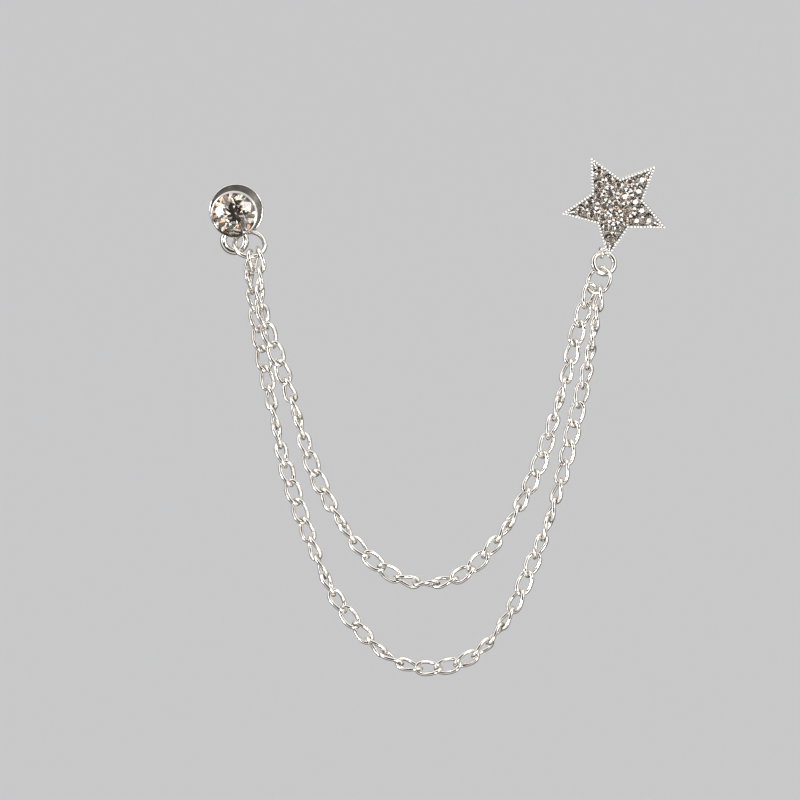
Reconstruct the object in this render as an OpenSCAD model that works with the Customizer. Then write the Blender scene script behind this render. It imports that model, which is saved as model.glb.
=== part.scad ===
// Lapel chain: a pave-set star pin and a round stone-set stud, joined by two hanging strands of
// open curb chain. Millimetres, +Z up, the front faces -Y. The cloth is the plane y = 0, and the
// origin is where the star's post goes through it.

/* [Star] */
// Reach of the star from its centre to a tip
star_r = 10.5; // [10:0.1:11]
// Radius of the notches between the arms
notch_r = 5.1; // [5:0.1:5.4]
// Thickness of the plate under its raised rim
plate_t = 1.4; // [1.3:0.1:1.8]
// Width of the raised rim
rim_w = 0.42; // [0.3:0.02:0.45]
// Height of the raised rim above the plate
rim_h = 0.3; // [0.2:0.05:0.4]
// Direction of the first arm, in degrees from +X
star_turn = 118; // [110:1:126]
// Forward lean of the star, in degrees
star_lean = 18; // [14:1:19]
// How far the middle of the star's back stands off the cloth
star_lift = 5.2; // [5.1:0.1:6]
// Girdle radius of the small stones
small_stone_r = 0.97; // [0.9:0.01:1]

/* [Stud] */
// Outer radius of the bezel cup
cup_r = 4.45; // [4.4:0.05:4.6]
// Depth of the cup in front of the disc
cup_depth = 4.5; // [4.4:0.1:5]
// How much narrower the cup is at the disc
cup_taper = 1.25; // [1.2:0.05:1.4]
// Radius of the back disc
disc_r = 5.2; // [5:0.1:5.5]
// Thickness of the back disc
disc_t = 0.5; // [0.4:0.05:0.6]
// Girdle radius of the large stone
large_stone_r = 4.1; // [4:0.02:4.14]
// Forward lean of the stud, in degrees
stud_lean = 11; // [8:1:13]
// Turn of the stud towards the left, in degrees
stud_turn = 4; // [0:1:5]

/* [Chain] */
// Half length of a link along its wire's centre
link_a = 2.33; // [2.32:0.01:2.36]
// Half width of a link along its wire's centre
link_b = 1.27; // [1.2:0.01:1.3]
// Radius of the links' wire
link_wire_r = 0.37; // [0.3:0.01:0.37]
// Twist from the middle of a link to its end, in degrees
link_twist = 33; // [30:1:36]

/* [Pins] */
// Radius of the posts
post_r = 0.5; // [0.4:0.05:0.6]
// Radius of the foot of a post
foot_r = 0.7; // [0.6:0.05:0.75]
// Reach of the posts behind the cloth
post_reach = 8; // [6:0.5:10]
// Length of the pointed end of a post
post_tip = 1.2; // [0.8:0.1:1.5]

/* [Hidden] */

metal = "silver";
crystal = "whitesmoke";
round_fn = 64;
gap = 0.05;

// The middle of the star's back, off its post, and of the stud's disc
star_at = [-0.25, -star_lift, 0];
stud_at = [-72.3, -1.2, -1.4];
// Where the feet of the posts end
star_foot_y = -star_lift + 1.2;
stud_foot_y = -0.2;

// Rings and the right link: middle, radius of the wire's centre line, radius of the wire, then
// the lean in the front view, the tilt and the turn
left_ring_at = [-69.7, -3, -7.8];
left_ring_r = 2.87;
left_ring_wire = 0.47;
left_ring_pose = [0, -32.5, 2.5];
star_ring_at = [-2.44, -1.47, -11.32];
star_ring_r = 2.08;
star_ring_wire = 0.5;
star_ring_pose = [0, -8.6, 16.6];
right_link_at = [-3.41, -2.14, -14.64];
right_link_end_r = 2.43;
right_link_half = 2.6;
right_link_wire = 0.4;
right_link_pose = [22.9, -5.9, -36.8];
// Opening of a jump ring's cut, in degrees
cut_deg = 3;

// Eye under the stud, and the loop behind the star's lowest tip with the lug that carries it
eye_r = 2.1;
eye_wire = 0.68;
eye_at = [-0.2, -2.75, -5.3];
tip_loop_r = 0.95;
tip_loop_wire = 0.3;
tip_loop_at = [-2.9, -1.3, -9.32];
lug_r = 0.4;
lug_at = [-3.2, -2.3, -8.85];
lug_long = 2.2;

// Depth of the small stones' seats
seat_depth = 0.75;
// Small stone: eight crown facets round a table, a girdle and eight facets below, as a half
// profile in girdle radii
small_profile = [[0, -0.62], [1, -0.02], [1, 0.04], [0.56, 0.32], [0, 0.32]];

// Height of the large stone's girdle and of the end of the cup's taper, in front of the disc,
// then the heights of the stone's parts and its table in girdle radii
girdle_y = cup_depth - 0.75;
bezel_y = cup_depth - 1.2;
pavilion_h = 3.3;
crown_h = 1.15;
girdle_h = 0.15;
table_r = 0.46;

// Outer strand's route from the left ring to the right link, a row a place: x, y, z
outer_route = [
    [-69.7, -4.6, -9.5], [-69.9, -3.6, -13.0], [-69.2, -2.3, -17.5], [-68.4, -1.9, -22.0],
    [-67.0, -1.9, -30.0], [-65.5, -1.9, -38.5], [-63.5, -1.9, -48.0], [-60.0, -1.9, -59.0],
    [-55.0, -1.9, -72.0], [-50.5, -1.9, -79.0], [-45.0, -1.9, -85.0], [-40.5, -1.9, -87.6],
    [-36.2, -1.9, -88.4], [-32.2, -1.9, -88.0], [-28.2, -1.9, -86.6], [-24.0, -1.9, -83.0],
    [-19.5, -1.9, -76.5], [-16.5, -1.9, -69.5], [-13.5, -1.9, -62.0], [-10.5, -1.9, -52.0],
    [-8.0, -1.9, -41.5], [-6.0, -1.9, -33.0], [-4.5, -2.6, -25.0], [-3.2, -3.2, -16.3]];
outer_links = 47;
// Numbers of the links at which the outer strand has turned edge on
outer_turns = [1.6, 9.4, 17.4, 22.7, 29.1, 35.4, 45.2, 59];

// Inner strand's route, a row a place: x, y, z
inner_route = [
    [-68.1, -4.0, -9.0], [-67.7, -4.9, -13.0], [-67.8, -5.7, -18.0], [-66.3, -5.0, -24.0],
    [-63.8, -3.8, -31.0], [-61.0, -2.4, -39.5], [-58.0, -1.9, -49.5], [-54.5, -1.9, -57.0],
    [-50.5, -1.9, -63.5], [-46.0, -1.9, -68.2], [-41.0, -1.9, -71.4], [-36.0, -1.9, -72.3],
    [-31.0, -1.9, -71.4], [-26.5, -1.9, -68.3], [-22.0, -1.9, -63.0], [-18.0, -1.9, -56.5],
    [-14.5, -1.9, -49.0], [-12.0, -1.9, -41.0], [-9.5, -1.9, -32.5], [-7.5, -1.3, -24.5],
    [-4.9, -1.9, -15.8]];
inner_links = 39;
// Numbers of the links at which the inner strand has turned edge on
inner_turns = [2.4, 9.6, 15.5, 21.2, 26.5, 33.5, 41.0];

// Roll of one link past the ends of a table of turns, in degrees
end_roll = 22.5;
// How much fuller a link's ends are than an ellipse's
end_fullness = 0.2;
link_steps = 12;
wire_sides = 6;
route_steps = 8;

function unit(v) = v / norm(v);
function total(list, n) = n == 0 ? 0 : list[n - 1] + total(list, n - 1);

// Catmull-Rom curve through a route's rows
function curve_at(a, b, c, d, t) =
    0.5 * (2 * b + (c - a) * t + (2 * a - 5 * b + 4 * c - d) * t * t
           + (3 * b - a - 3 * c + d) * t * t * t);
function smooth(rows) =
    let (n = len(rows), r = concat([2 * rows[0] - rows[1]], rows,
                                   [2 * rows[n - 1] - rows[n - 2]]))
    concat([for (i = [0 : n - 2], j = [0 : route_steps - 1])
                curve_at(r[i], r[i + 1], r[i + 2], r[i + 3], j / route_steps)], [rows[n - 1]]);

// Places that cut a line into equal lengths, where one link hands over to the next
function reach(line) =
    [for (i = 0, s = 0; i < len(line); i = i + 1,
          s = i < len(line) ? s + norm(line[i] - line[i - 1]) : s) s];
function place(line, at, s) =
    let (i = min(len(line) - 2, max([for (k = [0 : len(at) - 1]) if (at[k] <= s) k])),
         t = (s - at[i]) / (at[i + 1] - at[i]))
    line[i] + (line[i + 1] - line[i]) * t;
function joints(line, links) =
    let (at = reach(line), whole = at[len(at) - 1])
    [for (j = [0 : links]) place(line, at, whole * j / links)];

// Half turns that a strand has made at a link, from its table of edge-on links
function half_turns(n, turns) =
    let (last = len(turns) - 1)
    n < turns[0] ? (n - turns[0]) * end_roll / 180
    : n >= turns[last] ? last + (n - turns[last]) * end_roll / 180
    : let (k = max([for (i = [0 : last]) if (turns[i] <= n) i]))
      k + (n - turns[k]) / (turns[k + 1] - turns[k]);

// Centre line of a link: an oval with full ends whose width turns along its length.
// frame is [middle, along, across, depth]
function link_line(frame, roll, t) =
    let (x = link_a * cos(t),
         w = link_b * sin(t) * (1 + end_fullness * cos(t) ^ 2),
         turn = roll + link_twist * cos(t))
    frame[0] + x * frame[1] + w * (cos(turn) * frame[2] + sin(turn) * frame[3]);

// One turn of points round the wire at a place of the centre line
function wire_ring(frame, roll, t) =
    let (p = link_line(frame, roll, t),
         along = unit(link_line(frame, roll, t + 1) - link_line(frame, roll, t - 1)),
         out = p - frame[0],
         side = unit(out - (out * along) * along),
         up = cross(along, side))
    [for (k = [0 : wire_sides - 1])
        p + link_wire_r * (cos(360 * (k + 0.5) / wire_sides) * side
                           + sin(360 * (k + 0.5) / wire_sides) * up)];

module chain_link(from, to, roll) {
    along = unit(to - from);
    across = unit([-along[2], 0, along[0]]);
    frame = [(from + to) / 2, along, across, cross(across, along)];
    rings = [for (j = [0 : link_steps - 1]) wire_ring(frame, roll, 360 * (j + 0.5) / link_steps)];
    points = [for (ring = rings) each ring];
    faces = [for (j = [0 : link_steps - 1], k = [0 : wire_sides - 1])
        let (j2 = (j + 1) % link_steps, k2 = (k + 1) % wire_sides,
             a = j * wire_sides + k, b = j2 * wire_sides + k,
             c = j2 * wire_sides + k2, d = j * wire_sides + k2)
        each [[a, b, c], [a, c, d]]];
    polyhedron(points, faces, convexity = 6);
}

module strand(route, links, turns) {
    at = joints(smooth(route), links);
    color(metal)
        for (i = [0 : links - 1])
            chain_link(at[i], at[i + 1], -90 - 180 * half_turns(i + 1, turns));
}

// Lean in the front view, after a tilt, after a turn about Z
module posed(pose)
    rotate([0, pose[0], 0]) rotate([pose[1], 0, 0]) rotate([0, 0, pose[2]]) children();

// A bent wire ring in the XZ plane with its cut on the right
module wire_loop(mid_r, wire_r, cut = 0) {
    rotate([90, 0, 0])
        rotate([0, 0, cut / 2])
            rotate_extrude(angle = 360 - cut, $fn = round_fn)
                translate([mid_r, 0]) circle(wire_r, $fn = 24);
}

// An oval link in the XZ plane: two half rings and two straight sides
module oval_link(end_r, half, wire_r) {
    shift = half - end_r;
    rotate([90, 0, 0]) {
        for (turn = [0, 180])
            rotate([0, 0, turn]) {
                translate([0, shift, 0])
                    rotate_extrude(angle = 180, $fn = round_fn)
                        translate([end_r, 0]) circle(wire_r, $fn = 24);
                translate([end_r, shift, 0])
                    rotate([90, 0, 0]) cylinder(r = wire_r, h = 2 * shift, $fn = 24);
            }
    }
}

// A post along +Y with a thicker foot that ends at foot_y
module post(from_y, foot_y) {
    straight = post_reach - post_tip - from_y;
    translate([0, from_y, 0])
        rotate([-90, 0, 0]) {
            cylinder(r = foot_r, h = foot_y - from_y, $fn = round_fn);
            cylinder(r = post_r, h = straight, $fn = round_fn);
            translate([0, 0, straight])
                cylinder(r1 = post_r, r2 = post_r / 4, h = post_tip, $fn = round_fn);
        }
}

// Star pin
function star_outline(size) =
    [for (k = [0 : 9]) let (r = size * (k % 2 == 0 ? star_r : notch_r))
        r * [cos(star_turn + 36 * k), sin(star_turn + 36 * k)]];
// Distance from the star's middle to each of its edges
edge_d = star_r * notch_r * sin(36) / norm([star_r - notch_r * cos(36), notch_r * sin(36)]);

// Places of the small stones: the middle, a ring under the arms, a ring towards the notches,
// and in each arm a pair and one near the tip. Rows: first angle, distance from the middle
stone_rows = [[0, 2.3], [36, 3.62], [12.8, 4.97], [-12.8, 4.97], [0, 6.93]];
stone_places = concat([[0, 0]], [for (row = stone_rows, k = [0 : 4])
    let (a = star_turn + row[0] + 72 * k) row[1] * [cos(a), sin(a)]]);

module on_star() translate(star_at) rotate([star_lean, 0, 0]) children();

module star_body() {
    rotate([90, 0, 0]) {
        difference() {
            linear_extrude(plate_t + rim_h) polygon(star_outline(1));
            translate([0, 0, plate_t])
                linear_extrude(rim_h + 1) polygon(star_outline(1 - rim_w / edge_d));
            for (at = stone_places)
                translate([at[0], at[1], plate_t - seat_depth])
                    cylinder(r = small_stone_r + gap, h = seat_depth + 1, $fn = 32);
        }
    }
}

module star_setting() {
    color(metal) {
        on_star() star_body();
        post(-star_lift - plate_t / 4, star_foot_y);
        translate(tip_loop_at) rotate([0, 0, 90 + star_ring_pose[2]]) wire_loop(tip_loop_r, tip_loop_wire);
        translate(lug_at) rotate([0, 90, 0]) cylinder(r = lug_r, h = lug_long, $fn = 32);
    }
}

module star_stones() {
    color(crystal)
        on_star()
            rotate([90, 0, 0])
                for (at = stone_places)
                    translate([at[0], at[1], plate_t])
                        rotate_extrude($fn = 8)
                            polygon([for (p = small_profile) small_stone_r * p]);
}

module star_ring() {
    color(metal)
        translate(star_ring_at)
            posed(star_ring_pose) wire_loop(star_ring_r, star_ring_wire, cut_deg);
}

module right_link() {
    color(metal)
        translate(right_link_at)
            posed(right_link_pose)
                oval_link(right_link_end_r, right_link_half, right_link_wire);
}

module left_ring() {
    color(metal)
        translate(left_ring_at)
            posed(left_ring_pose) wire_loop(left_ring_r, left_ring_wire, cut_deg);
}

module outer_strand() strand(outer_route, outer_links, outer_turns);
module inner_strand() strand(inner_route, inner_links, inner_turns);

// Stud
module on_stud() translate(stud_at) rotate([stud_lean, 0, -stud_turn]) children();

module stud_body() {
    rotate([90, 0, 0]) {
        difference() {
            union() {
                translate([0, 0, -disc_t / 2]) cylinder(r = disc_r, h = disc_t, $fn = round_fn);
                cylinder(r1 = cup_r - cup_taper, r2 = cup_r, h = bezel_y, $fn = round_fn);
                translate([0, 0, bezel_y])
                    cylinder(r = cup_r, h = cup_depth - bezel_y, $fn = round_fn);
                rotate([-90, 0, 0]) translate(eye_at) wire_loop(eye_r, eye_wire);
            }
            // Cone under the stone, then the straight seat in the bezel
            translate([0, 0, girdle_y - pavilion_h - 2 * gap])
                cylinder(r1 = 0.25, r2 = large_stone_r + gap, h = pavilion_h, $fn = round_fn);
            translate([0, 0, girdle_y - 2 * gap])
                cylinder(r = large_stone_r + gap, h = cup_depth, $fn = round_fn);
        }
    }
}

module stud_setting() {
    color(metal) {
        on_stud() stud_body();
        translate([stud_at[0], 0, stud_at[2]]) post(stud_at[1], stud_foot_y);
    }
}

// Large stone: table, star facets, eight kites, sixteen girdle facets, and a faceted pavilion.
// Rings of corners: how many, first angle, radius, height
function stone_ring(n, first, r, h) = [for (k = [0 : n - 1])
    [r * cos(first + 360 * k / n), r * sin(first + 360 * k / n), h]];
module brilliant(r) {
    crown_r = (1 + table_r) / 2 * 1.02;
    points = concat(
        stone_ring(8, 22.5, r * table_r, girdle_h + crown_h),
        stone_ring(8, 0, r * crown_r, girdle_h + crown_h * 0.55),
        stone_ring(16, 0, r, girdle_h),
        stone_ring(16, 0, r, 0),
        stone_ring(8, 0, r * 0.3, -pavilion_h * 0.72),
        [[0, 0, -pavilion_h]]);
    table = [[for (k = [7 : -1 : 0]) k]];
    crown = [for (k = [0 : 7])
        let (k2 = (k + 1) % 8, c = 8 + k, c2 = 8 + k2, t = k, g = 16 + 2 * k,
             g1 = g + 1, g2 = 16 + (2 * k + 2) % 16, t0 = (k + 7) % 8)
        each [[t, c2, c], [t0, t, c], [c, g1, g], [c, c2, g1], [c2, g2, g1]]];
    girdle = [for (k = [0 : 15])
        let (a = 16 + k, b = 16 + (k + 1) % 16)
        each [[a, b, b + 16], [a, b + 16, a + 16]]];
    pavilion = [for (k = [0 : 7])
        let (p = 48 + k, p2 = 48 + (k + 1) % 8, g = 32 + 2 * k, g1 = g + 1,
             g2 = 32 + (2 * k + 2) % 16)
        each [[g, g1, p], [g1, p2, p], [g1, g2, p2], [p, p2, 56]]];
    polyhedron(points, concat(table, crown, girdle, pavilion), convexity = 4);
}

module stud_stone() {
    color(crystal)
        on_stud() rotate([90, 0, 0]) translate([0, 0, girdle_y]) brilliant(large_stone_r);
}

star_setting();
star_stones();
star_ring();
right_link();
outer_strand();
inner_strand();
left_ring();
stud_setting();
stud_stone();
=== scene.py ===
"""Looks of a lapel chain: a pave-set star pin and a round stud, joined by two curb chain strands.

Lengths in the classes are millimetres in the row frame: +X to the viewer's right, +Z up, the front
faces -Y, and the cloth is the plane y = 0. Meshes are written in metres.
"""

from __future__ import annotations

import logging
from dataclasses import dataclass, field
from enum import Enum
from itertools import combinations

import bmesh
import bpy
import numpy as np
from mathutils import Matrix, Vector


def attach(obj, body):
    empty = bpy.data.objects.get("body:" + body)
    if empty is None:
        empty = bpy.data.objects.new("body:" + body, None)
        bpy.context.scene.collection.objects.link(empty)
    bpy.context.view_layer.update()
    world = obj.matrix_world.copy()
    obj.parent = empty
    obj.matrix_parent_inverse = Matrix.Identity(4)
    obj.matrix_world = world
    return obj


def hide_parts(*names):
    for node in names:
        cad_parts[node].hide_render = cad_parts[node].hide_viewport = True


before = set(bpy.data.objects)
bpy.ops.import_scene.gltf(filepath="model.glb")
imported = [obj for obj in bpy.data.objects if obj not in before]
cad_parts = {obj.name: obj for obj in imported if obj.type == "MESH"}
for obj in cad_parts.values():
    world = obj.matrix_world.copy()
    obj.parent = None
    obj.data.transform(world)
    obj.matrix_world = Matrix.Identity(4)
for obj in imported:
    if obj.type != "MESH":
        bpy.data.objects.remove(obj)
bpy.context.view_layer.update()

MM = 0.001
MICRON = 1e-6
TAU = 2.0 * np.pi
MERGE = 0.0004 * MM
SLIVER = 0.0002 * MM
log = logging.getLogger("lapel_chain")

Tree = bpy.types.NodeTree
Node = bpy.types.Node
Socket = bpy.types.NodeSocket
Triple = tuple[float, float, float]


class Shading(Enum):
    """How a piece's faces meet: the angle past which an edge is sharp, in degrees."""

    ROUND = 180.0
    CREASED = 32.0
    FACETED = 0.0


# Rotations and frames


def rotation(axis: str, degrees: float) -> np.ndarray:
    """Right-handed rotation about a row axis.

    Args:
        axis: "x", "y" or "z".
        degrees: the angle.

    Returns:
        A 3 by 3 matrix that turns column vectors.
    """
    c, s = np.cos(np.radians(degrees)), np.sin(np.radians(degrees))
    rows = {
        "x": [[1, 0, 0], [0, c, -s], [0, s, c]],
        "y": [[c, 0, s], [0, 1, 0], [-s, 0, c]],
        "z": [[c, -s, 0], [s, c, 0], [0, 0, 1]],
    }
    return np.array(rows[axis], float)


UPRIGHT = np.array([[1, 0, 0], [0, 0, -1], [0, 1, 0]], float)


@dataclass(frozen=True)
class Place:
    """Where a sub-assembly sits: its x and y lie in the front view, its z faces the viewer."""

    at: Triple = (0.0, 0.0, 0.0)
    turn: np.ndarray = field(default_factory=lambda: np.eye(3))

    def matrix(self) -> np.ndarray:
        """The rotation from the sub-assembly's own axes to the row's."""
        return self.turn @ UPRIGHT

    def out(self, points: np.ndarray) -> np.ndarray:
        """Points of the sub-assembly in the row frame.

        Args:
            points: an array of places, n by 3.

        Returns:
            The same places in the row frame.
        """
        return points @ self.matrix().T + np.array(self.at)


# Shapes as arrays


@dataclass
class Shape:
    """Points and faces of a surface, with one number a point that says how much painted shade it has.
    """

    points: np.ndarray
    faces: list[np.ndarray]
    recess_shade: np.ndarray | None = None

    def depth(self) -> np.ndarray:
        """How much painted shade each point has, 0 where nothing was said."""
        return np.zeros(len(self.points)) if self.recess_shade is None else self.recess_shade

    def placed(self, place: Place) -> Shape:
        """The shape in the row frame.

        Args:
            place: where it sits.

        Returns:
            A new shape with the same faces.
        """
        return Shape(place.out(self.points), self.faces, self.recess_shade)

    def raised(self, height: float, x: float = 0.0, y: float = 0.0) -> Shape:
        """The shape moved in its own axes.

        Args:
            height: along its z.
            x: along its x.
            y: along its y.

        Returns:
            A new shape with the same faces.
        """
        return Shape(self.points + np.array([x, y, height]), self.faces, self.recess_shade)

    def mesh(self, name: str) -> bpy.types.Mesh:
        """The shape as a mesh in metres.

        Args:
            name: the mesh's name.

        Returns:
            The new mesh.
        """
        made = bpy.data.meshes.new(name)
        faces = [row for block in self.faces for row in block.tolist()]
        made.from_pydata((self.points * MM).tolist(), [], faces)
        return made


def join(shapes: list[Shape]) -> Shape:
    """One shape out of several, each kept as its own shell.

    Args:
        shapes: the shapes, in order.

    Returns:
        Their points and faces together.
    """
    starts = np.cumsum([0] + [len(s.points) for s in shapes[:-1]])
    faces = [f + start for s, start in zip(shapes, starts) for f in s.faces]
    return Shape(
        np.concatenate([s.points for s in shapes]),
        faces,
        np.concatenate([s.depth() for s in shapes]),
    )


def grid_faces(rows: int, cols: int, wrap_rows: bool = False, wrap_cols: bool = True) -> np.ndarray:
    """Quads of a grid of points stored row after row.

    Args:
        rows: how many rows of points there are.
        cols: how many points a row has.
        wrap_rows: whether the last row meets the first.
        wrap_cols: whether the last column meets the first.

    Returns:
        An n by 4 array of point numbers.
    """
    i = np.arange(rows if wrap_rows else rows - 1)[:, None]
    j = np.arange(cols if wrap_cols else cols - 1)[None, :]
    below, after = (i + 1) % rows, (j + 1) % cols
    quads = np.stack([i * cols + j, i * cols + after, below * cols + after, below * cols + j], -1)
    return quads.reshape(-1, 4)


def lathe(
    profile: list[tuple[float, float]],
    segments: int,
    closed: bool = False,
    recess_shade: list[float] | None = None,
) -> Shape:
    """Surface of a profile turned about the z axis.

    Formula: a point (r, h) of the profile becomes (r cos a, r sin a, h) for every angle a.

    Args:
        profile: radius and height of each point.
        segments: how many angles there are.
        closed: whether the profile's last point meets its first.
        recess_shade: how much painted shade each point of the profile has.

    Returns:
        The turned surface.
    """
    rows = np.array(profile, float)
    angle = TAU * np.arange(segments) / segments
    radius, height = rows[:, :1], np.broadcast_to(rows[:, 1:], (len(rows), segments))
    points = np.stack([radius * np.cos(angle), radius * np.sin(angle), height], -1)
    depth = None if recess_shade is None else np.repeat(np.array(recess_shade, float), segments)
    return Shape(points.reshape(-1, 3), [grid_faces(len(rows), segments, closed)], depth)


def unit(vectors: np.ndarray) -> np.ndarray:
    """The vectors at length 1. Their last axis holds x, y and z."""
    return vectors / np.linalg.norm(vectors, axis=-1, keepdims=True)


def circle(radius: float, steps: int) -> np.ndarray:
    """Places round a circle in the x y plane, steps by 3."""
    a = TAU * np.arange(steps) / steps
    return np.stack([radius * np.cos(a), radius * np.sin(a), 0 * a], 1)


def at_height(flat: np.ndarray, height: float) -> np.ndarray:
    """Places in the x y plane, n by 2, raised to one height."""
    return np.column_stack([flat, np.full(len(flat), height)])


def wire_section(along: np.ndarray, out: np.ndarray, sides: int) -> np.ndarray:
    """Directions from a wire's centre line to the points of its round section.

    Formula: cos a side + sin a up, where side is the part of out that stands square to the line
    and up is the line's direction crossed with it.

    Args:
        along: the line's direction at each place, of length 1.
        out: a vector at each place that side follows.
        sides: how many points the section has.

    Returns:
        The directions, for each place sides by 3.
    """
    side = unit(out - (out * along).sum(-1, keepdims=True) * along)
    up = np.cross(along, side)
    angle = (TAU * np.arange(sides) / sides)[:, None]
    return np.cos(angle) * side[..., None, :] + np.sin(angle) * up[..., None, :]


def tube(line: np.ndarray, radius: float, sides: int, closed: bool) -> Shape:
    """Round wire along a line that goes round the origin.

    Formula: each place of the line plus the wire's radius times the section's directions there.

    Args:
        line: places of the centre line, n by 3.
        radius: the wire's radius.
        sides: how many points the section has.
        closed: whether the line's end meets its start.

    Returns:
        The wire's surface. An open wire has a flat end face at each end.
    """
    if closed:
        along = np.roll(line, -1, 0) - np.roll(line, 1, 0)
    else:
        along = np.gradient(line, axis=0)
    points = line[:, None] + radius * wire_section(unit(along), line, sides)
    faces = [grid_faces(len(line), sides, closed)]
    if not closed:
        last = (len(line) - 1) * sides
        faces += [np.arange(sides)[None, ::-1], last + np.arange(sides)[None, :]]
    return Shape(points.reshape(-1, 3), faces)


def repeat_faces(faces: np.ndarray, count: int, per: int) -> np.ndarray:
    """Faces of copies whose points follow each other.

    Args:
        faces: the first copy's faces.
        count: how many copies there are.
        per: how many points a copy has.

    Returns:
        All the copies' faces, one copy after another.
    """
    shift = (np.arange(count) * per)[:, None, None]
    return (faces[None] + shift).reshape(-1, faces.shape[1])


def copies(
    base: Shape, at: np.ndarray, size: np.ndarray | float = 1.0, spin: np.ndarray | float = 0.0
) -> Shape:
    """Many copies of one shape, turned about their own z.

    Formula: copy k of point p is at[k] + size[k] Rz(spin[k]) p.

    Args:
        base: the shape to repeat.
        at: a place for each copy, n by 3.
        size: the scale of each copy.
        spin: the turn of each copy, in degrees.

    Returns:
        All the copies as one shape.
    """
    count = len(at)
    a = np.radians(np.broadcast_to(spin, (count,)))[:, None]
    s = np.broadcast_to(size, (count,))[:, None]
    x, y, z = base.points.T
    turned = np.stack([x * np.cos(a) - y * np.sin(a), x * np.sin(a) + y * np.cos(a), z + 0 * a], -1)
    points = (at[:, None] + s[..., None] * turned).reshape(-1, 3)
    faces = [repeat_faces(f, count, len(base.points)) for f in base.faces]
    return Shape(points, faces, np.tile(base.depth(), count))


def ball(radius: float, segments: int, rows: int, squash: float = 1.0) -> Shape:
    """A round grain.

    Formula: a sphere's rings at equal steps of latitude, its height scaled.

    Args:
        radius: the grain's radius.
        segments: points round it.
        rows: rings from pole to pole.
        squash: the grain's height as a part of its width.

    Returns:
        The grain, its middle at the origin.
    """
    lat = np.linspace(-np.pi / 2, np.pi / 2, rows)
    return lathe(list(zip(radius * np.cos(lat), radius * squash * np.sin(lat))), segments)


# From shapes to pieces


def add_piece(
    name: str,
    shape: Shape,
    finish: bpy.types.Material,
    shading: Shading = Shading.CREASED,
    nodes: tuple[str, ...] = (),
) -> None:
    """Makes a piece of the object that rides on its one body.

    Args:
        name: the piece's name.
        shape: its surface, in millimetres in the row frame.
        finish: its material.
        shading: how its faces meet.
        nodes: the CAD nodes that it stands for.
    """
    mesh = shape.mesh(name)
    # Each point's painted shade is kept on the mesh as an attribute that the silver finish reads.
    layer = mesh.attributes.new("recess_shade", "FLOAT", "POINT")
    layer.data.foreach_set("value", shape.depth().astype(np.float32))
    bm = bmesh.new()
    bm.from_mesh(mesh)
    bmesh.ops.remove_doubles(bm, verts=bm.verts, dist=MERGE)
    bmesh.ops.dissolve_degenerate(bm, edges=bm.edges, dist=SLIVER)
    bmesh.ops.recalc_face_normals(bm, faces=bm.faces)
    bm.to_mesh(mesh)
    bm.free()
    smooth = np.full(len(mesh.polygons), shading is not Shading.FACETED)
    mesh.polygons.foreach_set("use_smooth", smooth)
    if shading is Shading.CREASED:
        mesh.set_sharp_from_angle(angle=float(np.radians(shading.value)))
    mesh.materials.append(finish)
    mesh.update()
    piece = bpy.data.objects.new(name, mesh)
    bpy.context.scene.collection.objects.link(piece)
    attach(piece, "root")
    if nodes:
        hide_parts(*nodes)
    log.info("%s: %d faces", name, len(mesh.polygons))


# Finishes


def feed(tree: Tree, value: Socket | Triple | float, socket: Socket) -> None:
    """Gives a node's input its value.

    Args:
        tree: the node tree.
        value: a socket to link, a colour or a number.
        socket: the input.
    """
    if isinstance(value, Socket):
        tree.links.new(value, socket)
    elif isinstance(value, tuple):
        socket.default_value = (*value, 1.0)
    else:
        socket.default_value = value


def maths(
    tree: Tree,
    operation: str,
    a: Socket | float,
    b: Socket | float = 0.0,
    c: Socket | float = 0.0,
) -> Socket:
    """A Math node.

    Args:
        tree: the node tree.
        operation: the node's operation.
        a: the first input.
        b: the second input.
        c: the third input.

    Returns:
        The node's value.
    """
    node = tree.nodes.new("ShaderNodeMath")
    node.operation = operation
    for socket, value in zip(node.inputs, (a, b, c)):
        feed(tree, value, socket)
    return node.outputs[0]


def noise(tree: Tree, vector: Socket, scale: Socket | float, detail: float) -> Socket:
    """A noise pattern over the surface.

    Args:
        tree: the node tree.
        vector: where the pattern is read.
        scale: how many cells there are to a metre.
        detail: how many finer layers are added.

    Returns:
        The noise's value, about 0.5 on average.
    """
    node = tree.nodes.new("ShaderNodeTexNoise")
    node.inputs["Detail"].default_value = detail
    tree.links.new(vector, node.inputs["Vector"])
    feed(tree, scale, node.inputs["Scale"])
    return node.outputs[0]


def step(tree: Tree, value: Socket, low: float, high: float) -> Socket:
    """0 below low, 1 above high, smooth between.

    Args:
        tree: the node tree.
        value: what is compared.
        low: where the rise starts.
        high: where it ends.

    Returns:
        The step's value.
    """
    node = tree.nodes.new("ShaderNodeMapRange")
    node.interpolation_type = "SMOOTHSTEP"
    node.inputs["From Min"].default_value = low
    node.inputs["From Max"].default_value = high
    tree.links.new(value, node.inputs["Value"])
    return node.outputs["Result"]


def blend(tree: Tree, factor: Socket, first: Socket | Triple, second: Triple) -> Socket:
    """One colour turning into another.

    Args:
        tree: the node tree.
        factor: 0 for the first colour, 1 for the second.
        first: the first colour.
        second: the second colour.

    Returns:
        The mixed colour.
    """
    node = tree.nodes.new("ShaderNodeMix")
    node.data_type = "RGBA"
    feed(tree, factor, node.inputs["Factor"])
    feed(tree, first, node.inputs["A"])
    feed(tree, second, node.inputs["B"])
    return node.outputs["Result"]


def background(tree: Tree, color: Socket | Triple, strength: Socket | float) -> Node:
    """A Background node.

    Args:
        tree: the world's node tree.
        color: its colour.
        strength: how bright it is.

    Returns:
        The node.
    """
    node = tree.nodes.new("ShaderNodeBackground")
    feed(tree, color, node.inputs["Color"])
    feed(tree, strength, node.inputs["Strength"])
    return node


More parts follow.
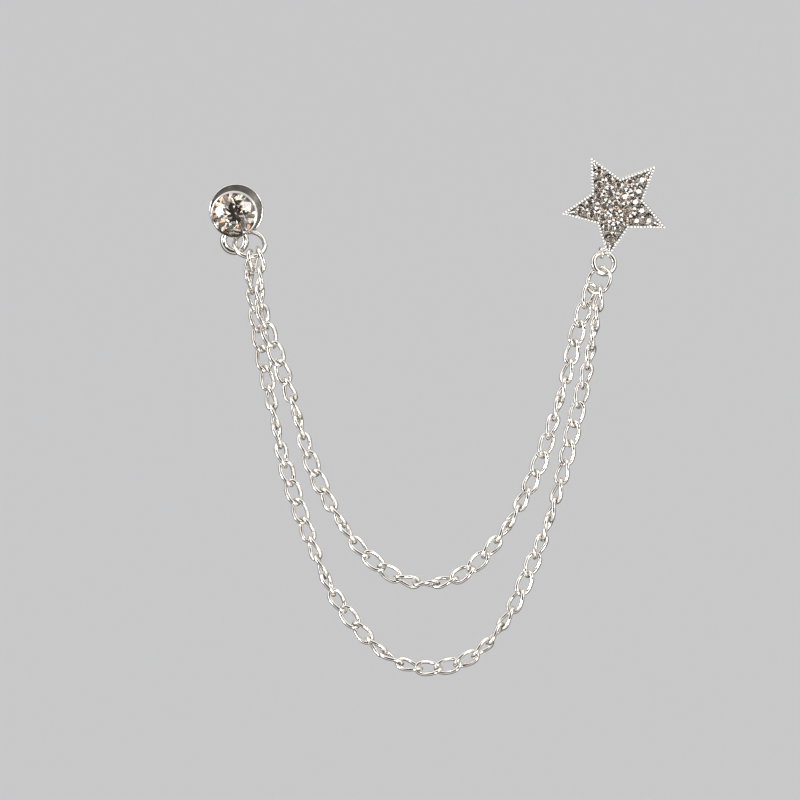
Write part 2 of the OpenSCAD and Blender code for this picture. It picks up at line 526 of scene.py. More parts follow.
def either(tree: Tree, choice: Socket, first: Node, second: Node) -> Node:
    """One shader or another.

    Args:
        tree: the node tree.
        choice: 0 for the first, 1 for the second.
        first: the first shader's node.
        second: the second shader's node.

    Returns:
        The node that mixes them.
    """
    node = tree.nodes.new("ShaderNodeMixShader")
    tree.links.new(choice, node.inputs[0])
    tree.links.new(first.outputs[0], node.inputs[1])
    tree.links.new(second.outputs[0], node.inputs[2])
    return node


def new_material(name: str) -> tuple[bpy.types.Material, Node]:
    """A material with nodes.

    Args:
        name: the material's name.

    Returns:
        The material and its Principled BSDF.
    """
    made = bpy.data.materials.new(name)
    made.use_nodes = True
    return made, made.node_tree.nodes["Principled BSDF"]


def polish_wear_group() -> Tree:
    """Hand-polished metal: soft haze, hairline scratches and a faint cast unevenness.

    Returns:
        A group that puts out a haze mask, a scratch mask and a height.
    """
    scratch_thinness, scratch_depth = 22.0, 0.25
    tree = bpy.data.node_groups.new("Polish wear", "ShaderNodeTree")
    tree.interface.new_socket("Vector", in_out="INPUT", socket_type="NodeSocketVector")
    for label in ("Haze scale", "Scratch scale"):
        tree.interface.new_socket(label, in_out="INPUT", socket_type="NodeSocketFloat")
    for label in ("Haze", "Scratch", "Height"):
        tree.interface.new_socket(label, in_out="OUTPUT", socket_type="NodeSocketFloat")
    start = tree.nodes.new("NodeGroupInput")
    end = tree.nodes.new("NodeGroupOutput")
    haze = noise(tree, start.outputs["Vector"], start.outputs["Haze scale"], 3.0)
    stretch = tree.nodes.new("ShaderNodeMapping")
    stretch.inputs["Rotation"].default_value = (0.5, 0.9, 0.3)
    stretch.inputs["Scale"].default_value = (1.0, 0.06, 0.5)
    tree.links.new(start.outputs["Vector"], stretch.inputs["Vector"])
    lines = noise(tree, stretch.outputs[0], start.outputs["Scratch scale"], 1.0)
    off_line = maths(tree, "ABSOLUTE", maths(tree, "SUBTRACT", lines, 0.5))
    thin = maths(tree, "SUBTRACT", 1.0, maths(tree, "MULTIPLY", off_line, scratch_thinness))
    scratch = maths(tree, "MAXIMUM", thin, 0.0)
    height = maths(tree, "SUBTRACT", haze, maths(tree, "MULTIPLY", scratch, scratch_depth))
    for label, value in {"Haze": haze, "Scratch": scratch, "Height": height}.items():
        tree.links.new(value, end.inputs[label])
    return tree


@dataclass(frozen=True)
class Silver:
    """Polished white metal, with painted shade in its recesses, where it is also rougher."""

    name: str
    color: Triple = (0.94, 0.91, 0.865)
    metallic: float = 1.0
    # Colour of the painted shade in recesses and in gaps between parts.
    painted_shade_color: Triple = (0.045, 0.042, 0.04)
    roughness: float = 0.05
    haze: float = 0.08
    scratch_haze: float = 0.08
    recess_haze: float = 0.25
    uneven: float = 0.4
    uneven_shade: float = 0.86
    bump_um: float = 1.6
    haze_scale: float = 900.0
    scratch_scale: float = 5200.0

    def material(self, wear: Tree) -> bpy.types.Material:
        """The finish as a material.

        Args:
            wear: the polish wear group.

        Returns:
            The material.
        """
        made, shader = new_material(self.name)
        shader.inputs["Metallic"].default_value = self.metallic
        tree = made.node_tree
        group = tree.nodes.new("ShaderNodeGroup")
        group.node_tree = wear
        group.inputs["Haze scale"].default_value = self.haze_scale
        group.inputs["Scratch scale"].default_value = self.scratch_scale
        place = tree.nodes.new("ShaderNodeTexCoord").outputs["Object"]
        tree.links.new(place, group.inputs["Vector"])
        attribute = tree.nodes.new("ShaderNodeAttribute")
        attribute.attribute_name = "recess_shade"
        recess_shade = attribute.outputs["Fac"]
        # Painted shade: the base colour turns near-black where the per-point shade mask is high.
        tint = blend(tree, recess_shade, self.color, self.painted_shade_color)
        uneven = maths(tree, "MULTIPLY", group.outputs["Haze"], self.uneven)
        shade = blend(tree, uneven, tint, tuple(self.uneven_shade * c for c in self.color))
        tree.links.new(shade, shader.inputs["Base Color"])
        rough = maths(tree, "MULTIPLY_ADD", group.outputs["Haze"], self.haze, self.roughness)
        rough = maths(tree, "MULTIPLY_ADD", group.outputs["Scratch"], self.scratch_haze, rough)
        rough = maths(tree, "MULTIPLY_ADD", recess_shade, self.recess_haze, rough)
        tree.links.new(rough, shader.inputs["Roughness"])
        bump = tree.nodes.new("ShaderNodeBump")
        bump.inputs["Strength"].default_value = 1.0
        bump.inputs["Distance"].default_value = self.bump_um * MICRON
        tree.links.new(group.outputs["Height"], bump.inputs["Height"])
        tree.links.new(bump.outputs["Normal"], shader.inputs["Normal"])
        return made


@dataclass(frozen=True)
class Crystal:
    """Clear cut stone."""

    name: str
    ior: float = 2.15
    tint: Triple = (1.0, 0.98, 0.95)
    haze_scale: float = 2600.0
    haze_shade: float = 0.9
    roughness: float = 0.02

    def material(self) -> bpy.types.Material:
        """The finish as a material: clear, with faint polishing haze on its facets.

        Returns:
            The material.
        """
        made, shader = new_material(self.name)
        shader.inputs["Transmission Weight"].default_value = 1.0
        shader.inputs["IOR"].default_value = self.ior
        tree = made.node_tree
        place = tree.nodes.new("ShaderNodeTexCoord").outputs["Object"]
        haze = noise(tree, place, self.haze_scale, 2.0)
        tint = blend(tree, haze, self.tint, tuple(self.haze_shade * c for c in self.tint))
        tree.links.new(tint, shader.inputs["Base Color"])
        rough = maths(tree, "MULTIPLY", haze, self.roughness)
        tree.links.new(rough, shader.inputs["Roughness"])
        return made


@dataclass(frozen=True)
class Finishes:
    """The finishes that the sub-assemblies share."""

    silver: bpy.types.Material
    chain: bpy.types.Material
    cast: bpy.types.Material
    crystal: bpy.types.Material


def make_finishes() -> Finishes:
    """Builds each finish once.

    Returns:
        The finishes, each as a material.
    """
    wear = polish_wear_group()
    silver = Silver("Polished silver")
    chain = Silver("Tumbled chain silver", roughness=0.06, haze=0.09, bump_um=2.0)
    cast = Silver(
        "Cast bright silver", (0.98, 0.965, 0.94), metallic=0.60, roughness=0.10, haze=0.14, bump_um=3.0
    )
    return Finishes(
        silver=silver.material(wear),
        chain=chain.material(wear),
        cast=cast.material(wear),
        crystal=Crystal("Clear crystal").material(),
    )


# Chain strands


@dataclass
class Strand:
    """A hanging strand of twisted curb links."""

    name: str
    node: str
    route: list[Triple]
    links: int
    edge_on: list[float]
    half_length: float = 2.33
    half_width: float = 1.27
    wire_r: float = 0.41
    twist: float = 33.0
    fullness: float = 0.2
    end_roll: float = 22.5
    route_steps: int = 8
    wire_steps: int = 40
    wire_sides: int = 14
    nudge: float = 0.01
    shade: float = 0.35
    shade_sharpness: int = 6

    def smooth_route(self) -> np.ndarray:
        """The route as a Catmull-Rom curve: the usual cubic blend of each four rows in turn.

        Returns:
            The curve's points, n by 3.
        """
        rows = np.array(self.route, float)
        r = np.concatenate([[2 * rows[0] - rows[1]], rows, [2 * rows[-1] - rows[-2]]])
        a, b, c, d = (r[k : k + len(rows) - 1, None] for k in range(4))
        t = (np.arange(self.route_steps) / self.route_steps)[None, :, None]
        curve = 0.5 * (
            2 * b
            + (c - a) * t
            + (2 * a - 5 * b + 4 * c - d) * t**2
            + (3 * b - a - 3 * c + d) * t**3
        )
        return np.concatenate([curve.reshape(-1, 3), rows[-1:]])

    def handovers(self) -> np.ndarray:
        """Places that cut the route into equal lengths, where one link hands over to the next.

        Returns:
            The places, one more than there are links.
        """
        line = self.smooth_route()
        reach = np.concatenate([[0.0], np.cumsum(np.linalg.norm(np.diff(line, axis=0), axis=1))])
        wanted = np.linspace(0.0, reach[-1], self.links + 1)
        return np.stack([np.interp(wanted, reach, line[:, k]) for k in range(3)], 1)

    def rolls(self) -> np.ndarray:
        """Each link's roll about the strand, in degrees: half a turn between edge-on links.

        Returns:
            The rolls, one a link.
        """
        number = np.arange(1, self.links + 1)
        turns = np.interp(number, self.edge_on, np.arange(len(self.edge_on)))
        before = (number - self.edge_on[0]) * self.end_roll / 180
        after = len(self.edge_on) - 1 + (number - self.edge_on[-1]) * self.end_roll / 180
        turns = np.where(number < self.edge_on[0], before, turns)
        turns = np.where(number >= self.edge_on[-1], after, turns)
        return -90.0 - 180.0 * turns

    def centre_lines(self, t: np.ndarray) -> tuple[np.ndarray, np.ndarray]:
        """Centre lines of all the links.

        Formula: middle + a cos t along + b sin t (1 + f cos^2 t) (cos u across + sin u depth),
        with u = roll + twist cos t.

        Args:
            t: the places round a link, in radians.

        Returns:
            The lines, links by places by 3, and the links' middles.
        """
        ends = self.handovers()
        middle = (ends[1:] + ends[:-1]) / 2
        along = unit(np.diff(ends, axis=0))
        across = unit(np.stack([-along[:, 2], 0 * along[:, 0], along[:, 0]], 1))
        depth = np.cross(across, along)
        turn = np.radians(self.rolls()[:, None] + self.twist * np.cos(t)[None, :])[..., None]
        width = (self.half_width * np.sin(t) * (1 + self.fullness * np.cos(t) ** 2))[None, :, None]
        length = (self.half_length * np.cos(t))[None, :, None]
        side = np.cos(turn) * across[:, None] + np.sin(turn) * depth[:, None]
        return middle[:, None] + length * along[:, None] + width * side, middle

    def shape(self) -> Shape:
        """All the links as round wire, with painted shade inside the ends, where the links touch each
        other.

        Returns:
            The strand in the row frame.
        """
        t = TAU * np.arange(self.wire_steps) / self.wire_steps
        line, middle = self.centre_lines(t)
        ahead, _ = self.centre_lines(t + self.nudge)
        behind, _ = self.centre_lines(t - self.nudge)
        section = wire_section(unit(ahead - behind), line - middle[:, None], self.wire_sides)
        points = line[:, :, None] + self.wire_r * section
        link = grid_faces(self.wire_steps, self.wire_sides, True)
        faces = repeat_faces(link, self.links, self.wire_steps * self.wire_sides)
        # Painted shade on the inner side of each link's ends, strongest at the very ends.
        inward = np.clip(-np.cos(TAU * np.arange(self.wire_sides) / self.wire_sides), 0, 1)
        ends = np.abs(np.cos(t))[:, None] ** self.shade_sharpness
        recess_shade = np.tile((self.shade * (inward * ends)).reshape(-1), self.links)
        return Shape(points.reshape(-1, 3), [faces], recess_shade)

    def build(self, finishes: Finishes) -> None:
        """Adds the strand in place of its solids."""
        add_piece(self.name, self.shape(), finishes.chain, Shading.ROUND, (self.node,))


# Rings


@dataclass
class Ring:
    """A jump ring of bent wire with its cut ends nearly closed, or a closed oval link."""

    name: str
    node: str
    at: Triple
    radius: float
    wire_r: float
    tilt: float
    turn: float
    lean: float = 0.0
    half_length: float | None = None
    cut_degrees: float = 3.0
    misfit: float = 0.0
    steps: int = 120
    sides: int = 20

    def centre_line(self) -> np.ndarray:
        """The wire's centre line: a cut circle, or two half circles joined by straight sides.

        Formula: the cut ends drift apart outwards and sideways, by a cube that comes to half
        the misfit at each of them.

        Returns:
            The line's places, steps by 3.
        """
        if self.half_length is None:
            half_cut = np.radians(self.cut_degrees) / 2
            a = np.linspace(half_cut, TAU - half_cut, self.steps)
            drift = self.misfit * np.linspace(-0.5, 0.5, self.steps) ** 3 * 4
            reach = self.radius + drift
            return np.stack([reach * np.cos(a), reach * np.sin(a), drift], 1)
        a = TAU * (np.arange(self.steps) + 0.5) / self.steps
        shift = (self.half_length - self.radius) * np.sign(np.sin(a))
        return np.stack([self.radius * np.cos(a), self.radius * np.sin(a) + shift, 0 * a], 1)

    def place(self) -> Place:
        """Where the ring hangs: leaned in the front view, after a tilt, after a turn."""
        turn = rotation("y", self.lean) @ rotation("x", self.tilt) @ rotation("z", self.turn)
        return Place(self.at, turn)

    def shape(self) -> Shape:
        """The ring's wire in the row frame.

        Returns:
            The wire's surface.
        """
        closed = self.half_length is not None
        wire = tube(self.centre_line(), self.wire_r, self.sides, closed)
        return wire.placed(self.place())

    def build(self, finishes: Finishes) -> None:
        """Adds the ring in place of its solid."""
        add_piece(self.name, self.shape(), finishes.silver, nodes=(self.node,))


@dataclass(frozen=True)
class Post:
    """Pin post through the cloth: a foot, the notch that a clutch grips, and a soft point."""

    at: tuple[float, float]
    from_y: float
    foot_y: float
    radius: float = 0.5
    foot_r: float = 0.7
    reach: float = 8.0
    tip: float = 1.2
    bevel: float = 0.08
    notch_depth: float = 0.07
    notch: tuple[float, ...] = (2.3, 2.15, 1.75, 1.6)
    blunt: float = 0.05
    sides: int = 32

    def shape(self) -> Shape:
        """The post in the row frame.

        Formula: a profile of radii and depths turned about the post's axis. The notch is measured
        back from where the tip starts.

        Returns:
            The post's surface, along Y.
        """
        r, foot, straight = self.radius, self.foot_r, self.reach - self.tip
        neck = r - self.notch_depth
        start, low, high, end = (straight - back for back in self.notch)
        profile = [
            (0.0, self.from_y),
            (foot, self.from_y),
            (foot, self.foot_y - self.bevel),
            (foot - self.bevel, self.foot_y),
            (r, self.foot_y),
            *[(r, start), (neck, low), (neck, high), (r, end)],
            (r, straight),
            (0.82 * r, straight + 0.35 * self.tip),
            (0.5 * r, straight + 0.75 * self.tip),
            (0.25 * r, self.reach - self.blunt),
            (0.0, self.reach),
        ]
        turned = lathe(profile, self.sides)
        x, y, z = turned.points.T
        return Shape(np.stack([x + self.at[0], z, y + self.at[1]], 1), turned.faces)


# Cut stones


@dataclass(frozen=True)
class Brilliant:
    """Round brilliant cut: sizes in girdle radii, the girdle's lower edge at height 0."""

    table: float = 0.48
    crown: float = 0.28
    girdle: float = 0.035
    pavilion: float = 0.78
    star_reach: float = 0.72
    lower_reach: float = 0.26

    def ring(self, count: int, first: float, radius: float, height: float) -> np.ndarray:
        """Corners at equal angles.

        Args:
            count: how many there are.
            first: the first one's angle, in degrees.
            radius: their distance from the axis.
            height: their height.

        Returns:
            The corners, count by 3.
        """
        a = np.radians(first + 360.0 * np.arange(count) / count)
        return np.stack([radius * np.cos(a), radius * np.sin(a), np.full(count, height)], 1)

    def shape(self, fine: bool = True) -> Shape:
        """The stone's facets.

        Formula: the kites of crown and pavilion are planes from the table's corners and from the
        culet to the girdle, and the corners between two kites lie on both of them.

        Args:
            fine: whether it has all its facets. Without, the girdle has eight corners.

        Returns:
            The stone of girdle radius 1.
        """
        half = np.cos(np.radians(22.5))
        slope = self.crown / (1 - self.table)
        top = self.girdle + self.crown
        star_h = top - (self.star_reach * half - self.table) * slope
        lower_h = -self.pavilion * (1 - self.lower_reach * half)
        culet = [[0.0, 0.0, -self.pavilion]]
        k = np.arange(8)
        n = (k + 1) % 8
        if not fine:
            points = np.concatenate([
                self.ring(8, 22.5, self.table, top),
                self.ring(8, 0, 1.0, self.girdle),
                self.ring(8, 0, 1.0, 0.0),
                culet,
            ])
            crown = np.concatenate([np.stack([k, 8 + n, n], 1), np.stack([k, 8 + k, 8 + n], 1)])
            belt = np.stack([8 + k, 16 + k, 16 + n, 8 + n], 1)
            pavilion = np.stack([16 + k, np.full(8, 24), 16 + n], 1)
            return Shape(points, [k[None, :], crown, belt, pavilion])
        points = np.concatenate([
            self.ring(8, 22.5, self.table, top),
            self.ring(8, 0, self.star_reach, star_h),
            self.ring(16, 0, 1.0, self.girdle),
            self.ring(16, 0, 1.0, 0.0),
            self.ring(8, 0, self.lower_reach, lower_h),
            culet,
        ])
        c, c2, g = 8 + k, 8 + n, 16 + 2 * k
        g1, g2 = g + 1, 16 + (2 * k + 2) % 16
        p, p2, w = 48 + k, 48 + n, 32 + 2 * k
        w1, w2 = w + 1, 32 + (2 * k + 2) % 16
        belt_k = np.arange(16)
        belt_n = (belt_k + 1) % 16
        return Shape(points, [
            k[None, :],
            np.stack([c, k, (k + 7) % 8], 1),
            np.stack([k, c, g1, c2], 1),
            np.concatenate([np.stack([c, g, g1], 1), np.stack([c2, g1, g2], 1)]),
            np.stack([16 + belt_k, 32 + belt_k, 32 + belt_n, 16 + belt_n], 1),
            np.concatenate([np.stack([p, w1, w], 1), np.stack([p2, w2, w1], 1)]),
            np.stack([p, np.full(8, 56), p2, w1], 1),
        ])


# Star pin


@dataclass
class StarPin:
    """Five-pointed star: cast plate, beaded edge, pave stones in cut seats, loop and post."""

    tip_r: float = 10.5
    notch_r: float = 5.1
    first_arm: float = 118.0
    lean: float = 18.0
    at: Triple = (-0.25, -5.2, 0.0)
    plate_t: float = 1.4
    rim_h: float = 0.3
    rim_w: float = 0.42
    floor_depth: float = 0.5
    stone_r: float = 0.97
    stone_lean: float = 3.0
    stone_spin: float = 17.0
    wobble_rate: float = 2.4
    dome: float = 1.3
    seat_sides: int = 28
    grain_reach: float = 2.0
    grain_room: tuple[float, float] = (0.1, 0.7)
    grain_share: float = 0.42
    grain_r: tuple[float, float] = (0.15, 0.24)
    grain_h: float = 0.06
    tip_bead_h: float = 0.02
    bead_r: float = 0.26
    beads_an_edge: int = 11
    loop_at: Triple = (-2.9, -1.3, -9.32)
    loop_turn: float = 16.6
    loop_r: float = 0.95
    loop_wire: float = 0.3
    lug_at: Triple = (-3.2, -2.3, -8.85)
    lug_r: float = 0.4
    lug_l: float = 2.2
    foot_h: float = 1.2

    def place(self) -> Place:
        """Where the star's back face sits."""
        return Place(self.at, rotation("x", self.lean))

    def corners(self) -> np.ndarray:
        """The ten corners of the star's outline, tips and notches in turn.

        Returns:
            The corners, 10 by 2.
        """
        a = np.radians(self.first_arm + 36.0 * np.arange(10))
        r = np.where(np.arange(10) % 2 == 0, self.tip_r, self.notch_r)
        return np.stack([r * np.cos(a), r * np.sin(a)], 1)

    def edge_distance(self) -> float:
        """Distance from the star's middle to each of its edges."""
        a, b = self.corners()[:2]
        return float(abs(a[0] * b[1] - a[1] * b[0]) / np.linalg.norm(a - b))

    def outline(self, inset: float, tip_round: float, steps: int = 5) -> np.ndarray:
        """The outline moved inwards, with rounded tips and notches.

        Formula: an outline whose edges all lie at one distance from the middle moves inwards by a
        scale. At each corner the last length q of both edges gives way to a quadratic curve from
        one to the other, which the corner pulls. A notch has 0.35 of the q of a tip.

        Args:
            inset: how far the edges move inwards.
            tip_round: length of edge that a tip's rounding takes.
            steps: points at each corner.

        Returns:
            The outline's points, 10 times steps by 2.
        """
        at = self.corners() * (1 - inset / self.edge_distance())
        before = unit(at - np.roll(at, 1, 0))
        after = unit(np.roll(at, -1, 0) - at)
        q = np.where(np.arange(10) % 2 == 0, tip_round, 0.35 * tip_round)[:, None]
        t = np.linspace(0, 1, steps)[None, :, None]
        start, end = (at - q * before)[:, None], (at + q * after)[:, None]
        curve = (1 - t) ** 2 * start + 2 * t * (1 - t) * at[:, None] + t**2 * end
        return curve.reshape(-1, 2)

    def plate(self) -> Shape:
        """The cast plate: rounded back edge, side, raised rim, and a sunk floor for the stones.

        Formula: rows of the rounded outline, each with its inset, its height and how much painted
        shade it has, closed to the middle by scaling the first and last row down to a point. The
        deeper the inset, the sharper the tips.

        Returns:
            The plate in the star's own axes.
        """
        top, floor, rim = self.plate_t + 0.35 * self.rim_h, self.plate_t - self.floor_depth, self.rim_w
        # Painted shade: 0.9 on the rim's top, its inner wall and the sunk floor, 0.6 where the side
        # turns onto the rim.
        shaded = 0.9
        rows = [
            (0.25, 0.0, 0.0),
            (0.12, 0.03, 0.0),
            (0.03, 0.12, 0.0),
            (0.0, 0.25, 0.0),
            (0.0, top - 0.30, 0.0),
            (0.05, top - 0.12, 0.6),
            (0.14, top, shaded),
            (rim - 0.02, top, shaded),
            (rim + 0.03, top - 0.06, shaded),
            (rim + 0.07, floor, shaded),
        ]
        loops, depth = [], []
        for inset, height, recess_shade in rows:
            flat = self.outline(inset, 0.35 - 0.3 * min(inset, 0.5))
            loops.append(at_height(flat, height))
            depth.append(np.full(len(flat), recess_shade))
        scales = np.array([0.75, 0.5, 0.25, 0.0])
        back = [loops[0] * [s, s, 1] for s in scales[::-1]]
        front = [loops[-1] * [s, s, 1] for s in scales]
        n = len(loops[0])
        points = np.concatenate(back + loops + front)
        recess_shade = np.concatenate([np.zeros(n * len(back)), *depth, np.full(n * len(front), shaded)])
        return Shape(points, [grid_faces(len(back) + len(loops) + len(front), n)], recess_shade)

    def stone_places(self) -> np.ndarray:
        """Middles of the stones in the plate's plane.

        Formula: one in the middle, then five rows of five, each row with its angle from the arm
        and its distance from the middle.

        Returns:
            The middles, n by 2.
        """
        rows = np.array([[0, 2.3], [36, 3.62], [12.8, 4.97], [-12.8, 4.97], [0, 6.93]])
        a = np.radians(self.first_arm + rows[:, :1] + 72.0 * np.arange(5)[None])
        ring = np.stack([rows[:, 1:] * np.cos(a), rows[:, 1:] * np.sin(a)], -1).reshape(-1, 2)
        return np.concatenate([[[0.0, 0.0]], ring])

    def seats(self) -> Shape:
        """Cut seats: a bright collar round each stone over a cone that the stone hangs in.

        Formula: a closed profile turned about the stone's axis. Each row holds its radius, its
        height above the plate and how much painted shade it has.

        Returns:
            The seats in the star's own axes.
        """
        r, low = self.stone_r, -self.floor_depth - 0.05
        # Painted shade: some on the collar's inner lip and outer edge, dark on the outer wall down into
        # the plate and under the seat.
        rows = [
            (0.12, -0.78 * r - 0.05, 0.0),
            (r, -0.03, 0.2),
            (r + 0.02, 0.05, 0.4),
            (r + 0.06, 0.10, 0.0),
            (r + 0.12, 0.08, 0.0),
            (r + 0.17, -0.02, 0.3),
            (r + 0.18, low, 0.9),
            (0.12, low - 0.35, 0.9),
        ]
        profile = [row[:2] for row in rows]
        seat = lathe(profile, self.seat_sides, closed=True, recess_shade=[row[2] for row in rows])
        return copies(seat, at_height(self.stone_places(), self.plate_t))

    def stones(self) -> Shape:
        """The pave stones, each turned and leaned a little differently.

        Formula: a stone's points shift in height by the tangent of its lean times their distance
        from its middle. The lean grows outwards, so that the field is slightly domed, and its
        wobble goes round with the stone's spin.

        Returns:
            The stones in the star's own axes.
        """
        at = self.stone_places()
        spin = (np.arange(len(at)) * self.stone_spin) % 45.0
        cut = Brilliant().shape(fine=False)
        shape = copies(cut, at_height(at, self.plate_t), self.stone_r, spin)
        heading = self.wobble_rate * spin
        wobble = np.stack([np.cos(heading), np.sin(heading)], 1)
        slope = -np.tan(np.radians(self.stone_lean * wobble + self.dome * at))
        per = len(cut.points)
        off = shape.points[:, :2] - np.repeat(at, per, 0)
        shape.points[:, 2] += (off * np.repeat(slope, per, 0)).sum(1)
        return shape

    def grain_places(self) -> tuple[np.ndarray, np.ndarray]:
        """Grains raised between neighbouring stones.

        Formula: for each three stones that lie near each other, the point at equal distance from
        all three, if no other stone is nearer, and a grain towards each of the three.

        Returns:
            The grains' middles in the plate's plane, and their radii.
        """
        at = self.stone_places()
        none, far = 1e-6, 1e9
        i, j, k = np.array(list(combinations(range(len(at)), 3))).T
        a, b, c = at[i], at[j], at[k]
        d = 2 * (a[:, 0] * (b - c)[:, 1] + b[:, 0] * (c - a)[:, 1] + c[:, 0] * (a - b)[:, 1])
        d = np.where(np.abs(d) < none, far, d)
        qa, qb, qc = (a**2).sum(1), (b**2).sum(1), (c**2).sum(1)
        x = (qa * (b - c)[:, 1] + qb * (c - a)[:, 1] + qc * (a - b)[:, 1]) / d
        y = (qa * (c - b)[:, 0] + qb * (a - c)[:, 0] + qc * (b - a)[:, 0]) / d
        centre = np.stack([x, y], 1)
        radius = np.linalg.norm(centre - a, axis=1)
        near = np.linalg.norm(centre[:, None] - at[None], axis=2).min(1)
        keep = (np.abs(near - radius) < none) & (radius < self.grain_reach)
        centre, three = centre[keep], np.stack([a, b, c], 1)[keep]
        room = np.clip(radius[keep] - self.stone_r, *self.grain_room)
        away = (room * self.grain_share)[:, None, None]
        grains = centre[:, None] + unit(three - centre[:, None]) * away
        size = np.repeat(np.clip(room * 0.5, *self.grain_r), 3)
        return grains.reshape(-1, 2), size

    def grains(self) -> Shape:
        """The raised grains that hold the stones."""
        at, size = self.grain_places()
        return copies(ball(1.0, 10, 7, 0.9), at_height(at, self.plate_t + self.grain_h), size)

    def edge_beads(self) -> Shape:
        """The beaded edge: equal steps along the middle of the rim.

        Returns:
            The beads in the star's own axes.
        """
        at = self.corners() * (1 - (self.bead_r * 0.6) / self.edge_distance())
        ahead = np.roll(at, -1, 0)
        t = (np.arange(self.beads_an_edge) / self.beads_an_edge)[None, :, None]
        line = (at[:, None] * (1 - t) + ahead[:, None] * t).reshape(-1, 2)
        height = self.plate_t + self.rim_h * 0.5
        return copies(ball(1.0, 10, 7, 0.95), at_height(line, height), self.bead_r)

    def tip_beads(self) -> Shape:
        """Beads that fill each arm past its last stone, smaller towards the tip.

        Formula: each row holds a bead's place along the arm, its place across it and its radius.

        Returns:
            The beads in the star's own axes.
        """
        rows = np.array([
            [8.22, 0.0, 0.27],
            [8.72, 0.0, 0.24],
            [9.17, 0.0, 0.21],
            [7.62, 0.93, 0.2],
            [7.62, -0.93, 0.2],
        ])
        a = np.radians(self.first_arm + 72.0 * np.arange(5))[:, None]
        x = rows[:, 0] * np.cos(a) - rows[:, 1] * np.sin(a)
        y = rows[:, 0] * np.sin(a) + rows[:, 1] * np.cos(a)
        height = np.full(x.shape, self.plate_t + self.tip_bead_h)
        at = np.stack([x, y, height], -1).reshape(-1, 3)
        return copies(ball(1.0, 12, 8), at, np.tile(rows[:, 2], 5))

    def loop(self) -> Shape:
        """The loop behind the lowest tip, square to the ring that hangs in it."""
        ring = tube(circle(self.loop_r, 48), self.loop_wire, 16, True)
        return ring.placed(Place(self.loop_at, rotation("z", 90 + self.loop_turn)))

    def lug(self) -> Shape:
        """The short bar that carries the loop: a round bar with rounded ends along X.

        Returns:
            The bar in the row frame.
        """
        end = np.radians(np.linspace(0, 90, 6))
        r_end, z_end = self.lug_r * np.sin(end), self.lug_r * (1 - np.cos(end))
        profile = [*zip(r_end, z_end), *zip(r_end[::-1], self.lug_l - z_end[::-1])]
        bar = lathe(profile, 24)
        x, y, z = bar.points.T
        return Shape(np.stack([z, x, y], 1) + np.array(self.lug_at), bar.faces)

    def build(self, finishes: Finishes) -> None:
        """Adds the star's metal and its stones.

        Args:
            finishes: the finishes that the pieces share.
        """
        where = self.place()
        post = Post((0.0, 0.0), self.at[1] - self.plate_t / 4, self.at[1] + self.foot_h)
        metal = join([self.plate().placed(where), self.loop(), post.shape()])
        add_piece("star_plate", metal, finishes.silver, nodes=("star_setting",))
        add_piece("star_lug", self.lug(), finishes.cast, Shading.ROUND)
        add_piece("star_seats", self.seats().placed(where), finishes.silver)
        grains = join([self.grains(), self.tip_beads()]).placed(where)
        add_piece("star_grains", grains, finishes.cast, Shading.ROUND)
        beads = self.edge_beads().placed(where)
        add_piece("star_beads", beads, finishes.cast, Shading.ROUND)
        stones = self.stones().placed(where)
        add_piece(
            "star_brilliants", stones, finishes.crystal, Shading.FACETED, ("star_stones",)
        )


# Stud


